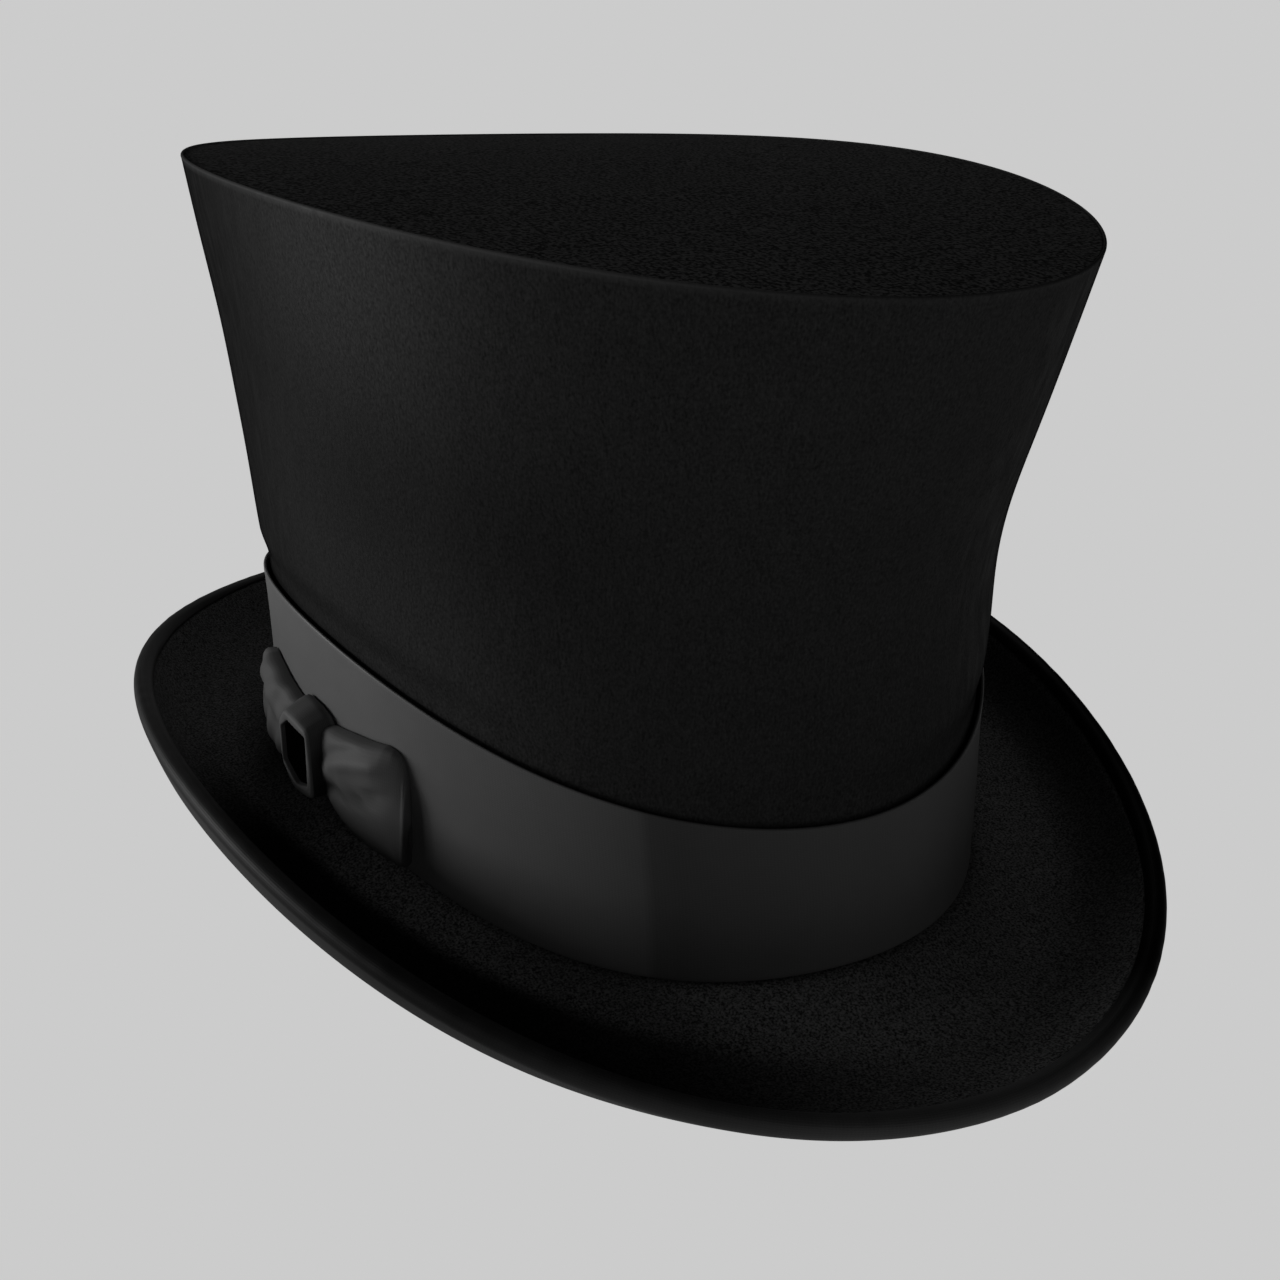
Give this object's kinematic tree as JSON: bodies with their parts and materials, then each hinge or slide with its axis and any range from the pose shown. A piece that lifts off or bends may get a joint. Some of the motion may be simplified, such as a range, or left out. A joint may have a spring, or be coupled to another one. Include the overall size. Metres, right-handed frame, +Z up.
{
  "type": "top hat",
  "caption": "Tall flared top hat with a rolled oval brim, satin ribbon band, side bow, bound edge, leather sweatband and satin lining",
  "frame": {"origin": "middle of the hat, on the plane that the brim rests on", "axes": "+Z up through the crown, +Y towards the wearer's front and along the hat's long axis, -X towards the wearer's left, where the bow is"},
  "size_m": [0.2339, 0.3175, 0.1544],
  "materials": {
    "side_plush": "black long-napped plush with an upright grain and a soft sheen",
    "crown_felt": "black short-napped fur felt, matt",
    "brim_felt": "black short-napped fur felt, matt",
    "under_felt": "black smooth wool cloth, matt",
    "band_satin": "charcoal black satin ribbon, soft sheen",
    "bow_satin": "charcoal black satin ribbon, soft sheen, creased",
    "binding_satin": "charcoal black satin ribbon, soft sheen",
    "keeper_hollow": "dead black velvet",
    "stiffener": "shellacked gossamer board, satin",
    "lining_satin": "ivory satin lining, soft sheen",
    "sweat_leather": "tan roan leather, semi-matt",
    "thread": "black waxed thread",
    "sweat_thread": "natural linen thread",
    "trim_ribbon": "black grosgrain",
    "reed_plastic": "matt extruded reed",
    "edge_wire": "drawn spring wire",
    "size_label": "blank woven label"
  },
  "bodies": {
    "root": {"crown_side_cover": "side_plush", "crown_side_shell": "stiffener", "crown_tip_cover": "crown_felt", "crown_tip_board": "stiffener", "tip_lining": "lining_satin", "side_lining": "lining_satin", "brim_top_cover": "brim_felt", "brim_core": "stiffener", "brim_under_cover": "under_felt", "brim_wire": "edge_wire", "brim_binding": "binding_satin", "hat_band": "band_satin", "sweatband": "sweat_leather", "sweatband_reed": "reed_plastic", "sweatband_stitches": "sweat_thread", "bow_backing": "trim_ribbon", "bow_keeper": "bow_satin", "bow_keeper_inset": "keeper_hollow", "bow_loop_rear": "bow_satin", "bow_loop_front": "bow_satin", "sweatband_bow": "trim_ribbon", "size_tab": "size_label", "band_tacks": "thread", "binding_stitches": "thread"}
  },
  "joints": []
}
